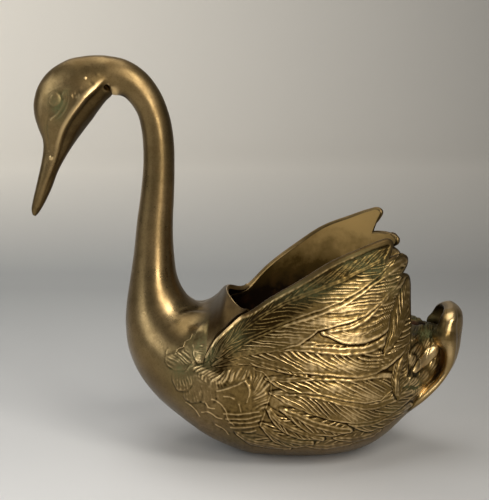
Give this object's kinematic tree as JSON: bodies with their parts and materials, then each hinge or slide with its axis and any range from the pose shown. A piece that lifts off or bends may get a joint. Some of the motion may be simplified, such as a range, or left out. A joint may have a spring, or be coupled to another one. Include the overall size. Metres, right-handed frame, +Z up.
{
  "type": "swan bowl",
  "caption": "Cast brass swan with a curved neck, raised feathered wings round an open hollow back, and a small upright tail fan.",
  "frame": {"origin": "on the table, below the middle of the overall length, on the swan's middle plane", "axes": "+Z up; the swan looks towards -X and its left side is -Y"},
  "size_m": [0.3, 0.1312, 0.2785],
  "materials": {
    "smooth_brass": "aged, smooth-ground cast brass with a soft sheen",
    "feathered_brass": "aged cast brass with feather relief, rubbed bright on the ridges, dark and slightly green in the hollows",
    "braze": "brazed seam ground flush and aged with the castings"
  },
  "bodies": {
    "root": {"head": "smooth_brass", "neck_and_breast_left": "smooth_brass", "neck_and_breast_right": "smooth_brass", "deck": "smooth_brass", "bowl_left": "feathered_brass", "bowl_right": "feathered_brass", "wing_left": "feathered_brass", "wing_right": "feathered_brass", "tail_fan": "smooth_brass", "seam_front": "braze", "seam_nape": "braze"}
  },
  "joints": []
}
